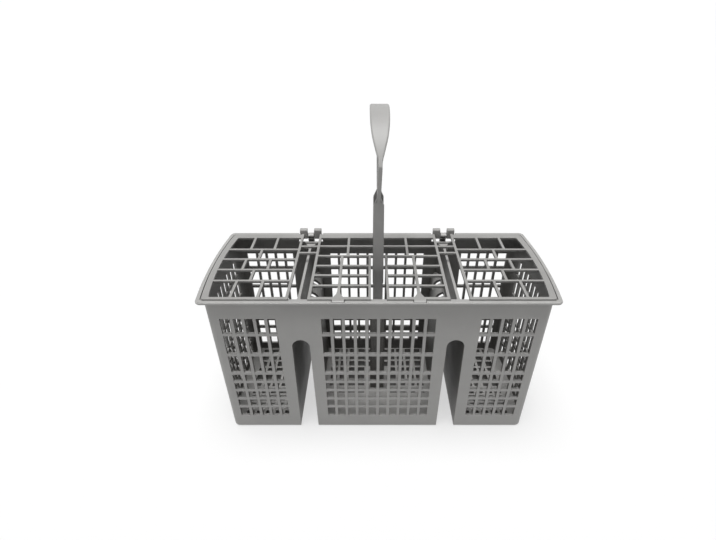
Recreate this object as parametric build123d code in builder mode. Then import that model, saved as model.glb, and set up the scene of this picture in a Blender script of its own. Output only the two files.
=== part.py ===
from build123d import *
import math
import os

# Dishwasher cutlery basket: an open lattice basket on three legs, a hinged grid
# lid and a standing loop handle. Millimetres, +Z up, the front wall faces -Y.
# The origin is on the standing plane, under the middle of the basket.

os.makedirs("parts", exist_ok=True)

# ---------------------------------------------------------------- dimensions
# basket
lid_top = 134.9            # height of the lid's top face above the standing plane
rim_top = lid_top - 0.8    # the rim lies a little lower than the lid
rim_h = 2.2                # thickness of the rim flange
rim_hx, rim_hy = 125.4, 50.5    # half length and half depth at the rim corners
rim_bow = 3.4              # how far the rim's ends bulge
rim_r = 4.0                # rim corner in plan
rim_round, rim_under = 0.6, 1.1 # rounded edges of the rim flange
foot_hx, foot_hy = 120.6, 45.2  # half length and half depth at the standing plane
end_bow = 3.2              # how far the end walls bulge
draft_deg = 0.5            # draft of the walls, degrees
wall = 2.0
floor_t = 7.0              # depth of the floor ribs
floor_skin = 2.2           # plain part of the middle floor
outer_r, inner_r = 5.0, 6.0     # vertical corners
foot_round = 2.0           # rounded bottom edges of the legs

# slots between the legs
slot_x = 57.0              # middle of each slot
slot_hw_foot = 7.35        # half width at the standing plane
slot_r = 6.5               # arch radius, also half width at its springing
slot_spring = lid_top - 44.4

# lattice windows, measured down from the lid's top face
bar = 2.3                  # lattice bars of the front and ends
back_bar = 2.0             # lattice bars of the back wall
pitch = 8.4
gap = pitch - bar
side_pitch = 8.12
side_gap = side_pitch - bar
side_window_x = 92.15
outer_extra = 1.5          # the outermost column of a side leg is wider
back_out = 0.9             # the back wall's side columns lie a little further out
rows = [(17.9, 31.85), (34.25, 51.75), (54.15, 71.2), (73.6, 80.5),
        (82.9, 89.95), (92.35, 99.6), (102.0, 109.15), (111.55, 120.95)]
back_rows = rows[:6] + [(105.2, 116.2)]    # middle of the back wall
front_cols, side_cols, end_cols = 10, 5, 8

# dividers over the slots
divider_t = 2.0
divider_top = lid_top - 8.2
divider_flare = 4.6        # half width where a divider runs into the walls

# socket column for the handle stem
column_hx, column_hy = 6.1, 11.4
column_top = lid_top - 45.2
socket_floor = 30.0
fit = 0.15

# lid
lid_t = 1.7
lid_gap = 1.0              # room between the lid and the rim lip at the ends
lip, lip_end = 3.0, 2.6    # width of the rim lip along the sides and at the ends
ledge = 2.0                # depth of the ledge under the lid
frame_front, frame_back = 44.3, 40.0   # inner edges of the front and back frames
lid_front, lid_back = 47.1, 46.0
frame_end = 4.4            # end frames
bar_w = 2.0
field_x = 63.4             # inner bar of a side field
centre_x = 48.1            # side bar of the centre field
guide_x, guide_w = 6.35, 1.8    # bars beside the handle slot
guide_back = 10.9          # bar that closes the handle slot
side_bar = 58.5            # length of the cross bars in a side field
side_cross = [20.95, 5.75, -9.35, -24.1]
centre_cross = [26.25, 10.9, -3.75, -16.95, -30.3]
bridge_y = [25.95, 15.7]   # bars that join the fields over the slots
clip_x = 28.05             # long bars that end in the clip feet
clip_hw = 4.2
stub_x = 23.75             # short bars of the two back rows
brick_two = (83.55, 102.55)     # uprights of the odd rows in a side field
brick_one = 93.25          # upright of the even rows

# hinge
pin_y, pin_z, pin_r = 48.65, lid_top - 3.0, 1.5
bore_r = 1.58
hook_r, hook_hw = 3.0, 2.4
snap = 1.15                # half height of the hook's mouth
post_in, post_out = 3.0, 9.0    # posts, from the middle of the slot
post_top = lid_top + 4.0
notch_floor = lid_top - 6.95

# handle
stem_hy = 9.0
stem_low_hx = 3.7
stem_lid_hx = 4.05
stem_top_hx = 3.7
stem_step = lid_top - 12.8
shoulder_low, shoulder_top = lid_top + 51.7, lid_top + 57.2
web_hx = 1.25
arch_r, arch_z = 50.0, lid_top + 66.5  # outer curve of the grip and its centre
loop_hy = 43.5             # half depth of the loop at its corners
corner_r = 2.0
arm_foot = lid_top + 53.5
hole_r = 43.0              # upper edge of the hand hole
hole_hy = 33.2             # half depth of the hand hole at its corners
hole_foot, hole_foot_hy = lid_top + 64.1, 8.2
strap_t = 3.0
strap_round = 1.1          # rounded outer edges of the grip
# half width of the grip against height over the lid
grip_profile = [(1.25, 90.0), (1.30, 92.8), (1.48, 94.4), (2.06, 96.6), (2.85, 99.0),
                (3.68, 101.6), (4.46, 104.0), (5.1, 106.4), (5.6, 108.9), (5.95, 111.2),
                (6.16, 113.4), (6.25, 115.2), (6.28, 118.0)]

loop_z = arch_z + math.sqrt(arch_r ** 2 - loop_hy ** 2)
hole_z = arch_z + math.sqrt(hole_r ** 2 - hole_hy ** 2)
slope = math.tan(math.radians(draft_deg))
rim_low = rim_top - rim_h


def bowed_face(hx, hy_front, hy_back, bow, radius):
    """Plan outline with straight long sides and bulging ends."""
    mid = (hy_back - hy_front) / 2
    with BuildSketch() as sk:
        with BuildLine():
            Line((-hx, -hy_front), (hx, -hy_front))
            ThreePointArc((hx, -hy_front), (hx + bow, mid), (hx, hy_back))
            Line((hx, hy_back), (-hx, hy_back))
            ThreePointArc((-hx, hy_back), (-hx - bow, mid), (-hx, -hy_front))
        make_face()
        fillet(sk.vertices(), radius)
    return sk.sketch


def slot_face(grow):
    """Both slot outlines in the XZ plane, grown by the wall where it is wanted."""
    with BuildSketch() as sk:
        for cx in (-slot_x, slot_x):
            r = slot_r + grow
            foot = slot_hw_foot + grow
            with BuildLine():
                Line((cx - foot, -1), (cx - r, slot_spring))
                ThreePointArc((cx - r, slot_spring), (cx, slot_spring + r), (cx + r, slot_spring))
                Line((cx + r, slot_spring), (cx + foot, -1))
                Line((cx + foot, -1), (cx - foot, -1))
            make_face()
    return sk.sketch


def loop_face():
    """Outline of the arms and the arch."""
    with BuildSketch() as sk:
        with BuildLine():
            Polyline((-loop_hy, loop_z), (-stem_hy, arm_foot), (-stem_hy, arm_foot - 6),
                     (stem_hy, arm_foot - 6), (stem_hy, arm_foot), (loop_hy, loop_z))
            ThreePointArc((loop_hy, loop_z), (0, arch_z + arch_r), (-loop_hy, loop_z))
        make_face()
        fillet(sk.vertices().group_by(Axis.X)[0] + sk.vertices().group_by(Axis.X)[-1], corner_r)
    return sk.sketch


def hand_hole_face():
    """Hand hole between the arms, under the grip."""
    with BuildSketch() as sk:
        with BuildLine():
            Polyline((-hole_hy, hole_z), (-hole_foot_hy, hole_foot),
                     (hole_foot_hy, hole_foot), (hole_hy, hole_z))
            ThreePointArc((hole_hy, hole_z), (0, arch_z + hole_r), (-hole_hy, hole_z))
        make_face()
        fillet(sk.vertices(), 4.5)
    return sk.sketch


def outer_at(z):
    return foot_hx + z * slope, foot_hy + z * slope


# -------------------------------------------------------------- basket body
# the room inside the walls, with the slots' own walls left standing in it
with BuildPart() as room:
    with BuildSketch(Plane.XY.offset(floor_t)):
        ox, oy = outer_at(floor_t)
        add(bowed_face(ox - wall, oy - wall, oy - wall, end_bow, inner_r))
    extrude(amount=rim_top + 2 - floor_t)
    draft(room.faces().filter_by(Axis.Z, reverse=True), Plane.XY.offset(floor_t), -draft_deg)
    with BuildSketch(Plane.XZ):
        add(slot_face(wall))
    extrude(amount=70, both=True, mode=Mode.SUBTRACT)

# thin rim flange with rounded edges
with BuildPart() as rim:
    with BuildSketch(Plane.XY.offset(rim_low)):
        add(bowed_face(rim_hx, rim_hy, rim_hy, rim_bow, rim_r))
    extrude(amount=rim_h)
    fillet(rim.edges().group_by(Axis.Z)[-1], rim_round)
    fillet(rim.edges().group_by(Axis.Z)[0], rim_under)

with BuildPart() as basket_body:
    # drafted block of the three legs
    with BuildSketch(Plane.XY):
        add(bowed_face(foot_hx, foot_hy, foot_hy, end_bow, outer_r))
    extrude(amount=rim_low + 0.6)
    draft(basket_body.faces().filter_by(Axis.Z, reverse=True), Plane.XY, -draft_deg)
    add(rim.part)
    # slots between the legs, then the rounded foot edges
    with BuildSketch(Plane.XZ):
        add(slot_face(0))
    extrude(amount=70, both=True, mode=Mode.SUBTRACT)
    fillet(basket_body.edges().group_by(Axis.Z)[0], foot_round)
    # the room inside
    add(room.part, mode=Mode.SUBTRACT)
    # ledge and lip round the lid
    with BuildSketch(Plane.XY.offset(lid_top - ledge)):
        add(bowed_face(rim_hx - lip_end, rim_hy - lip, rim_hy - lip, rim_bow, rim_r - 1.5))
    extrude(amount=rim_h + 2, mode=Mode.SUBTRACT)

    # lattice windows in the front wall, then in the back wall
    for reach, out, mid_rows, b in ((70, 0.0, rows, bar), (-70, back_out, back_rows, back_bar)):
        with BuildSketch(Plane.XZ):
            for top, low in mid_rows:
                with Locations((0, lid_top - (top + low) / 2)):
                    with GridLocations(pitch, 1, front_cols, 1):
                        Rectangle(pitch - b, low - top)
            side_x = side_window_x + out
            outer_x = side_x + side_cols / 2 * side_pitch - b / 2 + outer_extra / 2
            for top, low in rows:
                zc, zh = lid_top - (top + low) / 2, low - top
                with Locations((-side_x, zc), (side_x, zc)):
                    with GridLocations(side_pitch, 1, side_cols, 1):
                        Rectangle(side_pitch - b, zh)
                with Locations((-outer_x + 0.5, zc), (outer_x - 0.5, zc)):
                    Rectangle(outer_extra + 1.0, zh)
        extrude(amount=reach, mode=Mode.SUBTRACT)
    # lattice windows in the end walls
    for side in (1, -1):
        with BuildSketch(Plane.YZ.offset(side * 113.5)):
            for top, low in rows:
                zc, zh = lid_top - (top + low) / 2, low - top
                with Locations((0, zc)):
                    with GridLocations(pitch, 1, end_cols, 1):
                        Rectangle(gap, zh)
        extrude(amount=side * 20, mode=Mode.SUBTRACT)
    # pierced floors: the front of the middle floor stays plain
    with BuildSketch(Plane.XY.offset(-1)):
        with Locations((-side_window_x, 0), (side_window_x, 0)):
            with GridLocations(side_pitch, pitch, side_cols, 10):
                Rectangle(side_gap, gap)
        with Locations((-27.3, 13.4), (27.3, 13.4)):
            with GridLocations(pitch, pitch, 4, 7):
                Rectangle(gap, gap)
        with Locations((0, 29.4)):
            with GridLocations(pitch, pitch, 3, 3):
                Rectangle(gap, gap)
    extrude(amount=floor_t + 2, mode=Mode.SUBTRACT)
    # the plain part of the middle floor is cored out from below
    with BuildSketch(Plane.XY.offset(-1)):
        with Locations((0, -29.4)):
            RectangleRounded(88.0, 23.0, 1.5)
    extrude(amount=floor_t - floor_skin + 1, mode=Mode.SUBTRACT)
    # drain slots across the shoulders of the arches
    with BuildSketch(Plane.XY.offset(slot_spring)):
        for cx in (-slot_x, slot_x):
            with Locations((cx - 5.6, 0), (cx + 5.6, 0)):
                with GridLocations(1, 18.6, 1, 4):
                    Rectangle(7.6, 5.5)
    extrude(amount=slot_r + wall + 2, mode=Mode.SUBTRACT)

    # dividers over the slots, wider where they run into the walls
    divider_y = outer_at(divider_top)[1] - 1.2
    with BuildSketch(Plane.XY.offset(slot_spring + slot_r + 0.8)):
        for cx in (-slot_x, slot_x):
            h = divider_t / 2
            with BuildLine():
                Polyline((cx - divider_flare, -divider_y), (cx + divider_flare, -divider_y),
                         (cx + h + 1.0, -divider_y + 5.5), (cx + h, -divider_y + 11),
                         (cx + h, divider_y - 11), (cx + h + 1.0, divider_y - 5.5),
                         (cx + divider_flare, divider_y), (cx - divider_flare, divider_y),
                         (cx - h - 1.0, divider_y - 5.5), (cx - h, divider_y - 11),
                         (cx - h, -divider_y + 11), (cx - h - 1.0, -divider_y + 5.5),
                         close=True)
            make_face()
    extrude(amount=divider_top - (slot_spring + slot_r + 0.8))

    # socket column that takes the stem
    with BuildSketch(Plane.XY.offset(floor_t - 0.5)):
        RectangleRounded(2 * column_hx, 2 * column_hy, 1.5)
    extrude(amount=column_top - floor_t + 0.5)
    with BuildSketch(Plane.XY.offset(socket_floor)):
        Rectangle(2 * (stem_low_hx + fit), 2 * (stem_hy + fit))
    extrude(amount=column_top - socket_floor + 1, mode=Mode.SUBTRACT)

    # notches in the rim for the hinge yokes and the clip feet
    with BuildSketch(Plane.XY.offset(notch_floor)):
        for side in (1, -1):
            with Locations((side * slot_x, 49.4)):
                Rectangle(20.6, 12.0)
    extrude(amount=8, mode=Mode.SUBTRACT)
    with BuildSketch(Plane.XY.offset(lid_top - 2.4)):
        for side in (1, -1):
            with Locations((side * clip_x, -48.1)):
                Rectangle(2 * clip_hw + 0.9, 3.4)
    extrude(amount=5, mode=Mode.SUBTRACT)

    # snap hooks round the lid's pins, each on a lug behind the back wall
    for side in (1, -1):
        with BuildSketch(Plane.YZ.offset(side * slot_x)):
            with Locations((pin_y, pin_z)):
                Circle(hook_r)
            with BuildLine():
                Polyline((pin_y + 0.9, pin_z), (pin_y + hook_r, pin_z),
                         (pin_y + hook_r, lid_top - 9.5), (45.3, lid_top - 17.0),
                         (45.3, lid_top - 8.4), (47.4, lid_top - 7.2),
                         (pin_y + 0.9, lid_top - 5.4), close=True)
            make_face()
            with Locations((pin_y, pin_z)):
                Circle(bore_r, mode=Mode.SUBTRACT)
            with Locations((pin_y - 2.5, pin_z)):
                Rectangle(5.0, 2 * snap, mode=Mode.SUBTRACT)
        extrude(amount=hook_hw, both=True)

basket_body.part.label = "basket_body"
export_step(basket_body.part, "parts/basket_body.step")

# ---------------------------------------------------------------------- lid
lid_low = lid_top - lid_t
lid_hx = rim_hx - lip_end - lid_gap

with BuildPart() as lid:
    with BuildSketch(Plane.XY.offset(lid_low)):
        # frame of all three fields
        add(bowed_face(lid_hx, lid_front, lid_back, rim_bow, 2.5))
        add(bowed_face(lid_hx - frame_end, frame_front, frame_back, rim_bow, 1.5),
            mode=Mode.SUBTRACT)
        # the fields are parted over the slots, and the handle slot is open at the front
        for side in (1, -1):
            with Locations((side * (field_x + centre_x) / 2, 0)):
                Rectangle(field_x - centre_x, 3 * lid_front, mode=Mode.SUBTRACT)
        with Locations((0, -lid_front)):
            Rectangle(2 * guide_x - guide_w, lid_front, mode=Mode.SUBTRACT)
        for side in (1, -1):
            # side field: bars along its inner edge, across it, and the brick pattern
            with Locations((side * field_x, 0)):
                Rectangle(bar_w, 2 * lid_front)
            for y in side_cross:
                with Locations((side * (field_x + side_bar / 2), y)):
                    Rectangle(side_bar, bar_w)
            edges_y = [frame_back + 1] + side_cross + [-frame_front - 1]
            for i in range(5):
                y0, y1 = edges_y[i + 1], edges_y[i]
                for x in (brick_two if i % 2 == 0 else (brick_one,)):
                    with Locations((side * x, (y0 + y1) / 2)):
                        Rectangle(bar_w, y1 - y0)
            # centre field
            with Locations((side * centre_x, 0)):
                Rectangle(bar_w, 2 * lid_front)
            for y in centre_cross:
                start = 0 if y >= guide_back else guide_x
                with Locations((side * (start + centre_x) / 2, y)):
                    Rectangle(centre_x - start, bar_w)
            with Locations((side * stub_x, (guide_back + frame_back + 1) / 2)):
                Rectangle(bar_w, frame_back + 1 - guide_back)
            with Locations((side * clip_x, (guide_back - frame_front - 1) / 2)):
                Rectangle(bar_w, guide_back + frame_front + 1)
            with Locations((side * guide_x, (guide_back - lid_front) / 2)):
                Rectangle(guide_w, guide_back + lid_front)
            # bridges between the fields
            for y in bridge_y:
                with Locations((side * (field_x + centre_x) / 2, y)):
                    Rectangle(field_x - centre_x, bar_w)
    extrude(amount=lid_t)

    # clip feet that lie in the notches of the front rim
    with BuildSketch(Plane.XY.offset(lid_low)):
        for side in (1, -1):
            cx = side * clip_x
            with BuildLine():
                Polyline((cx - bar_w / 2, -37.0), (cx - bar_w / 2 - 0.6, -41.0),
                         (cx - clip_hw + 0.4, -45.2), (cx - clip_hw, -46.6),
                         (cx - clip_hw, -49.4), (cx + clip_hw, -49.4),
                         (cx + clip_hw, -46.6), (cx + clip_hw - 0.4, -45.2),
                         (cx + bar_w / 2 + 0.6, -41.0), (cx + bar_w / 2, -37.0), close=True)
            make_face()
    extrude(amount=lid_t)
    toe = lid.edges().filter_by(Axis.X).filter_by_position(Axis.Y, -49.5, -49.3)
    chamfer(toe.filter_by_position(Axis.Z, lid_top - 0.1, lid_top + 0.1), 1.1)

    # hinge yokes: a pair of posts with a pin between them at each slot
    for side in (1, -1):
        for end in (1, -1):
            mid = side * slot_x + end * (post_in + post_out) / 2
            with BuildSketch(Plane.YZ.offset(mid)) as post:
                with BuildLine():
                    Polyline((pin_y - 2.6, pin_z - 1.9), (pin_y + 2.6, pin_z - 1.9),
                             (pin_y + 2.2, post_top), (pin_y - 2.0, post_top), close=True)
                make_face()
                fillet(post.vertices().group_by(Axis.Z)[-1], 1.4)
            extrude(amount=(post_out - post_in) / 2, both=True)
        with BuildSketch(Plane.YZ.offset(side * slot_x)):
            with Locations((pin_y, pin_z)):
                Circle(pin_r)
        extrude(amount=post_in + 0.6, both=True)

lid.part.label = "lid"
export_step(lid.part, "parts/lid.step")

# ------------------------------------------------------------------- handle
# grip: a curved strap, widest at the top of the arch
with BuildPart() as grip:
    with BuildSketch(Plane.YZ):
        with Locations((0, arch_z)):
            Circle(arch_r)
            Circle(arch_r - strap_t, mode=Mode.SUBTRACT)
        with Locations((0, loop_z + 2.0 - 50.0)):
            Rectangle(120, 100, mode=Mode.SUBTRACT)
    extrude(amount=8, both=True)
    with BuildSketch(Plane.XZ):
        right = [(x, lid_top + z) for x, z in grip_profile]
        left = [(-x, z) for x, z in right]
        with BuildLine():
            Spline(*right)
            Line(right[-1], left[-1])
            Spline(*reversed(left))
            Line(left[0], right[0])
        make_face()
    extrude(amount=60, both=True, mode=Mode.INTERSECT)
    crown = grip.faces().sort_by(Axis.Z)[-1]
    fillet(crown.edges().sort_by(SortBy.LENGTH)[-4:], strap_round)

with BuildPart() as handle:
    # stem: two edge flanges on a web, narrowed at the shoulder
    with BuildSketch(Plane.XZ):
        with BuildLine():
            Polyline((-stem_low_hx + 0.8, socket_floor), (stem_low_hx - 0.8, socket_floor),
                     (stem_low_hx, socket_floor + 3.0),
                     (stem_low_hx, stem_step), (stem_lid_hx, stem_step + 0.35),
                     (stem_top_hx, shoulder_low), (web_hx, shoulder_top),
                     (-web_hx, shoulder_top), (-stem_top_hx, shoulder_low),
                     (-stem_lid_hx, stem_step + 0.35), (-stem_low_hx, stem_step),
                     (-stem_low_hx, socket_floor + 3.0), close=True)
        make_face()
    extrude(amount=stem_hy, both=True)
    with BuildSketch(Plane.YZ.offset(web_hx)):
        with Locations((0, (lid_top + 4.0 + shoulder_top + 4.0) / 2)):
            Rectangle(2 * (stem_hy - 2.4), shoulder_top - lid_top)
    extrude(amount=10, mode=Mode.SUBTRACT)
    with BuildSketch(Plane.YZ.offset(-web_hx)):
        with Locations((0, (lid_top + 4.0 + shoulder_top + 4.0) / 2)):
            Rectangle(2 * (stem_hy - 2.4), shoulder_top - lid_top)
    extrude(amount=-10, mode=Mode.SUBTRACT)
    # arms and arch as one web round the hand hole
    with BuildSketch(Plane.YZ):
        add(loop_face())
        add(hand_hole_face(), mode=Mode.SUBTRACT)
    extrude(amount=web_hx, both=True)
    add(grip.part)

handle.part.label = "handle"
export_step(handle.part, "parts/handle.step")
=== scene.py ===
import math

import bmesh
import bpy
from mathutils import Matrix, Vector


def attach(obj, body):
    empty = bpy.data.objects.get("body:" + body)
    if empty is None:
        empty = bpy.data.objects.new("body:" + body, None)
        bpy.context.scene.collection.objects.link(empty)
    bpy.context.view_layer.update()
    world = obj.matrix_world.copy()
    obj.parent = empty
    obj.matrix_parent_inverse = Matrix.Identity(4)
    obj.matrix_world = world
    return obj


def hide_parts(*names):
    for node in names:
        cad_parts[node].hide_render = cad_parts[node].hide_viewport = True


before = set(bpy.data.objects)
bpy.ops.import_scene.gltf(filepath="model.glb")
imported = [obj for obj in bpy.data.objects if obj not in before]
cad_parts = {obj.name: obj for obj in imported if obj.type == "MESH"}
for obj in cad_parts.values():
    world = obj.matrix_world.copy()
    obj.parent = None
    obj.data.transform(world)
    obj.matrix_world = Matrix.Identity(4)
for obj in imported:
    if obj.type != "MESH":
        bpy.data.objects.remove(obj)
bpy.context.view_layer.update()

MM = 0.001
LID_TOP = 134.9


# ------------------------------------------------------------------ materials
def node(nt, kind, x, y, **inputs):
    n = nt.nodes.new(kind)
    n.location = (x, y)
    for k, v in inputs.items():
        n.inputs[k.replace("_", " ")].default_value = v
    return n


def colour_sockets(mix):
    """Factor, A, B and result of a colour mix."""
    fac = [s for s in mix.inputs if s.name == "Factor" and s.type == "VALUE"][0]
    a = [s for s in mix.inputs if s.name == "A" and s.type == "RGBA"][0]
    b = [s for s in mix.inputs if s.name == "B" and s.type == "RGBA"][0]
    return fac, a, b, [s for s in mix.outputs if s.type == "RGBA"][0]


def moulded_plastic(name, dark, light, rough, grain, painted_shade_amount):
    """Satin moulded polypropylene: faint mottling, fine grain, paler edges that are partly rubbed wear and partly
    a painted highlight, and painted shade where the walls close in.
    """
    mat = bpy.data.materials.new(name)
    mat.use_nodes = True
    nt = mat.node_tree
    nt.nodes.clear()
    out = node(nt, "ShaderNodeOutputMaterial", 900, 0)
    bsdf = node(nt, "ShaderNodeBsdfPrincipled", 600, 0)
    bsdf.inputs["IOR"].default_value = 1.49
    nt.links.new(bsdf.outputs["BSDF"], out.inputs["Surface"])
    co = node(nt, "ShaderNodeTexCoord", -1300, 0)

    # colour: slow mottling and a fine speckle
    slow = node(nt, "ShaderNodeTexNoise", -1000, 300, Scale=34.0, Detail=4.0, Roughness=0.55)
    fine = node(nt, "ShaderNodeTexNoise", -1000, 60, Scale=1500.0, Detail=2.0, Roughness=0.5)
    mixn = node(nt, "ShaderNodeMath", -780, 200)
    mixn.operation = "MULTIPLY_ADD"
    mixn.inputs[1].default_value = 0.35
    ramp = node(nt, "ShaderNodeValToRGB", -560, 250)
    ramp.color_ramp.elements[0].position = 0.40
    ramp.color_ramp.elements[0].color = (*dark, 1)
    ramp.color_ramp.elements[1].position = 0.95
    ramp.color_ramp.elements[1].color = (*light, 1)
    for t in (slow, fine):
        nt.links.new(co.outputs["Object"], t.inputs["Vector"])
    nt.links.new(fine.outputs["Fac"], mixn.inputs[0])
    nt.links.new(slow.outputs["Fac"], mixn.inputs[2])
    nt.links.new(mixn.outputs[0], ramp.inputs["Fac"])

    # paler edges, partly rubbed wear and partly a painted highlight, found where the rounded normal leaves the
    # flat one
    edge = node(nt, "ShaderNodeBevel", -1000, -220)
    edge.samples = 4
    edge.inputs["Radius"].default_value = 0.0009
    geo = node(nt, "ShaderNodeNewGeometry", -1000, -420)
    dot = node(nt, "ShaderNodeVectorMath", -780, -300)
    dot.operation = "DOT_PRODUCT"
    rub_and_highlight = node(nt, "ShaderNodeMapRange", -560, -260)
    rub_and_highlight.inputs["From Min"].default_value = 0.995
    rub_and_highlight.inputs["From Max"].default_value = 0.80
    rub_and_highlight.inputs["To Min"].default_value = 0.0
    rub_and_highlight.inputs["To Max"].default_value = 0.35
    nt.links.new(edge.outputs["Normal"], dot.inputs[0])
    nt.links.new(geo.outputs["Normal"], dot.inputs[1])
    nt.links.new(dot.outputs["Value"], rub_and_highlight.inputs["Value"])
    wear_and_highlight = node(nt, "ShaderNodeMix", -200, 200)
    wear_and_highlight.data_type = "RGBA"
    wear_and_highlight.blend_type = "MIX"
    fac, a_in, b_in, res = colour_sockets(wear_and_highlight)
    # edge colour a quarter paler than the light tone: rubbed wear and painted highlight
    b_in.default_value = (*[min(1.0, c * 1.25) for c in light], 1)
    nt.links.new(rub_and_highlight.outputs["Result"], fac)
    nt.links.new(ramp.outputs["Color"], a_in)

    # painted shade: ambient occlusion darkens the colour where the walls close in on each other, standing in for
    # the shade inside the basket
    painted_shade_ao = node(nt, "ShaderNodeAmbientOcclusion", -560, 520)
    painted_shade_ao.samples = 6
    painted_shade_ao.only_local = True
    painted_shade_ao.inputs["Distance"].default_value = 0.075
    painted_shade_ramp = node(nt, "ShaderNodeMapRange", -200, 480)
    painted_shade_ramp.inputs["From Min"].default_value = 0.90
    painted_shade_ramp.inputs["From Max"].default_value = 0.35
    painted_shade_ramp.inputs["To Min"].default_value = 0.0
    painted_shade_ramp.inputs["To Max"].default_value = painted_shade_amount
    nt.links.new(painted_shade_ao.outputs["AO"], painted_shade_ramp.inputs["Value"])
    # less painted shade on faces that look up, where the overhead light falls
    upward = node(nt, "ShaderNodeSeparateXYZ", -560, 720)
    lift = node(nt, "ShaderNodeMapRange", -380, 720)
    lift.inputs["From Min"].default_value = 0.3
    lift.inputs["From Max"].default_value = 0.9
    lift.inputs["To Min"].default_value = 1.0
    lift.inputs["To Max"].default_value = 0.35
    both = node(nt, "ShaderNodeMath", 0, 520)
    both.operation = "MULTIPLY"
    nt.links.new(geo.outputs["Normal"], upward.inputs["Vector"])
    nt.links.new(upward.outputs["Z"], lift.inputs["Value"])
    nt.links.new(painted_shade_ramp.outputs["Result"], both.inputs[0])
    nt.links.new(lift.outputs["Result"], both.inputs[1])
    painted_shade_mix = node(nt, "ShaderNodeMix", 200, 240)
    painted_shade_mix.data_type = "RGBA"
    painted_shade_mix.blend_type = "MIX"
    fac2, a_in2, b_in2, res2 = colour_sockets(painted_shade_mix)
    # near-black colour of the painted shade
    b_in2.default_value = (0.060, 0.056, 0.050, 1)
    nt.links.new(both.outputs["Value"], fac2)
    nt.links.new(res, a_in2)
    nt.links.new(res2, bsdf.inputs["Base Color"])

    # roughness varies a little with the mottling
    rmap = node(nt, "ShaderNodeMapRange", -200, -60)
    rmap.inputs["From Min"].default_value = 0.3
    rmap.inputs["From Max"].default_value = 0.7
    rmap.inputs["To Min"].default_value = rough - 0.04
    rmap.inputs["To Max"].default_value = rough + 0.05
    nt.links.new(slow.outputs["Fac"], rmap.inputs["Value"])
    nt.links.new(rmap.outputs["Result"], bsdf.inputs["Roughness"])

    # moulded grain and a slow sink of the flat walls
    grain_t = node(nt, "ShaderNodeTexNoise", -560, -560, Scale=2600.0, Detail=2.0, Roughness=0.6)
    sink_t = node(nt, "ShaderNodeTexNoise", -560, -780, Scale=70.0, Detail=1.0, Roughness=0.4)
    for t in (grain_t, sink_t):
        nt.links.new(co.outputs["Object"], t.inputs["Vector"])
    b1 = node(nt, "ShaderNodeBump", -200, -560)
    b1.inputs["Strength"].default_value = 0.25
    b1.inputs["Distance"].default_value = 0.0006
    b2 = node(nt, "ShaderNodeBump", 100, -480)
    b2.inputs["Strength"].default_value = grain
    b2.inputs["Distance"].default_value = 0.0002
    soft = node(nt, "ShaderNodeBevel", -560, -980)
    soft.samples = 6
    soft.inputs["Radius"].default_value = 0.0005
    nt.links.new(soft.outputs["Normal"], b1.inputs["Normal"])
    nt.links.new(sink_t.outputs["Fac"], b1.inputs["Height"])
    nt.links.new(grain_t.outputs["Fac"], b2.inputs["Height"])
    nt.links.new(b1.outputs["Normal"], b2.inputs["Normal"])
    nt.links.new(b2.outputs["Normal"], bsdf.inputs["Normal"])
    return mat


# the last number is how much painted shade goes into the hollows
body_mat = moulded_plastic("grey_plastic_looks", (0.266, 0.263, 0.257), (0.305, 0.302, 0.295), 0.46, 0.10, 0.85)
lid_mat = moulded_plastic("grey_plastic_lid_looks", (0.230, 0.227, 0.221), (0.264, 0.261, 0.254), 0.44, 0.08, 0.15)
handle_mat = moulded_plastic("grey_plastic_handle_looks", (0.262, 0.259, 0.254), (0.300, 0.297, 0.291), 0.56, 0.08, 0.40)


# ------------------------------------------------------------------- mouldings
def moulding(name, body, mat, width):
    """The node's own solid; the small edge rounds of a moulding are added only when width is above zero."""
    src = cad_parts[name]
    bm = bmesh.new()
    bm.from_mesh(src.data)
    bmesh.ops.remove_doubles(bm, verts=bm.verts, dist=0.00002)
    bmesh.ops.dissolve_degenerate(bm, dist=0.00001, edges=bm.edges)
    bmesh.ops.dissolve_limit(bm, angle_limit=math.radians(0.3), use_dissolve_boundaries=False,
                             verts=bm.verts, edges=bm.edges)
    sharp = [e for e in bm.edges if len(e.link_faces) == 2 and e.calc_face_angle(0) > math.radians(32)]
    if width > 0:
        bmesh.ops.bevel(bm, geom=sharp, offset=width, offset_type="OFFSET", segments=2, profile=0.5,
                        affect="EDGES", clamp_overlap=False, loop_slide=False)
    me = bpy.data.meshes.new(name + "_moulding")
    bm.to_mesh(me)
    bm.free()
    for att in ("custom_normal",):
        if att in me.attributes:
            me.attributes.remove(me.attributes[att])
    me.materials.clear()
    me.materials.append(mat)
    for p in me.polygons:
        p.material_index = 0
        p.use_smooth = True
    me.set_sharp_from_angle(angle=math.radians(50))
    o = bpy.data.objects.new(name + "_moulding", me)
    bpy.context.scene.collection.objects.link(o)
    wn = o.modifiers.new("even_normals", "WEIGHTED_NORMAL")
    wn.keep_sharp = True
    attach(o, body)
    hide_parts(name)
    return o


moulding("basket_body", "basket", body_mat, 0)
moulding("lid", "lid", lid_mat, 0)
moulding("handle", "basket", handle_mat, 0)


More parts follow.
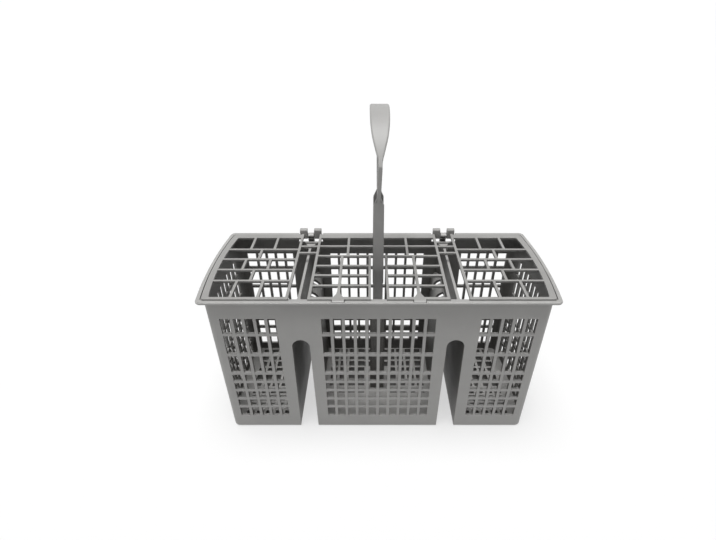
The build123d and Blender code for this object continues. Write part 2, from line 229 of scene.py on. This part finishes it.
# ----------------------------------------------------------------------- stage
def plain_floor():
    bm = bmesh.new()
    bmesh.ops.create_grid(bm, x_segments=2, y_segments=2, size=30.0)
    me = bpy.data.meshes.new("floor")
    bm.to_mesh(me)
    bm.free()
    o = bpy.data.objects.new("floor", me)
    o.location = (0, 0, -0.0002)
    bpy.context.scene.collection.objects.link(o)
    mat = bpy.data.materials.new("floor_pale")
    mat.use_nodes = True
    b = mat.node_tree.nodes["Principled BSDF"]
    b.inputs["Base Color"].default_value = (0.21, 0.21, 0.21, 1)
    b.inputs["Emission Color"].default_value = (1, 1, 1, 1)
    b.inputs["Emission Strength"].default_value = 0.62
    b.inputs["Roughness"].default_value = 0.9
    b.inputs["Specular IOR Level"].default_value = 0.1
    me.materials.append(mat)
    return o


plain_floor()


def sun(name, towards, angle, strength):
    d = bpy.data.lights.new(name, "SUN")
    d.angle = math.radians(angle)
    d.energy = strength
    o = bpy.data.objects.new(name, d)
    o.rotation_euler = Vector(towards).to_track_quat("-Z", "Y").to_euler()
    bpy.context.scene.collection.objects.link(o)
    return o


sun("overhead_soft", (0.05, 0.06, -1.0), 34, 5.15)

world = bpy.data.worlds.new("studio")
bpy.context.scene.world = world
world.use_nodes = True
bg = world.node_tree.nodes["Background"]
bg.inputs["Color"].default_value = (1.0, 1.0, 1.0, 1)
# pale all round like a paper sweep, dim overhead where the lamp is
wt = world.node_tree
sky = node(wt, "ShaderNodeTexCoord", -800, 0)
part = node(wt, "ShaderNodeSeparateXYZ", -600, 0)
fall = node(wt, "ShaderNodeMapRange", -400, 0)
fall.interpolation_type = "SMOOTHSTEP"
fall.inputs["From Min"].default_value = 0.25
fall.inputs["From Max"].default_value = 0.45
fall.inputs["To Min"].default_value = 1.0
fall.inputs["To Max"].default_value = 0.06
wt.links.new(sky.outputs["Generated"], part.inputs["Vector"])
wt.links.new(part.outputs["Z"], fall.inputs["Value"])
wt.links.new(fall.outputs["Result"], bg.inputs["Strength"])

bpy.context.scene.view_settings.view_transform = "Standard"
bpy.context.scene.view_settings.gamma = 0.9

# ---------------------------------------------------------------------- camera
cam_d = bpy.data.cameras.new("photo_camera")
cam_d.sensor_fit = "HORIZONTAL"
cam_d.sensor_width = 36.0
cam_d.lens = 447.6 / 716 * 36.0
cam_d.shift_x = -12.3 / 716
cam_d.clip_start, cam_d.clip_end = 0.01, 200
cam = bpy.data.objects.new("photo_camera", cam_d)
cam.location = (-5.9 * MM, -292.8 * MM, (LID_TOP + 182.4) * MM)
cam.rotation_euler = (math.radians(90 - 32.84), 0, 0)
bpy.context.scene.collection.objects.link(cam)
bpy.context.scene.camera = cam

bpy.context.view_layer.update()
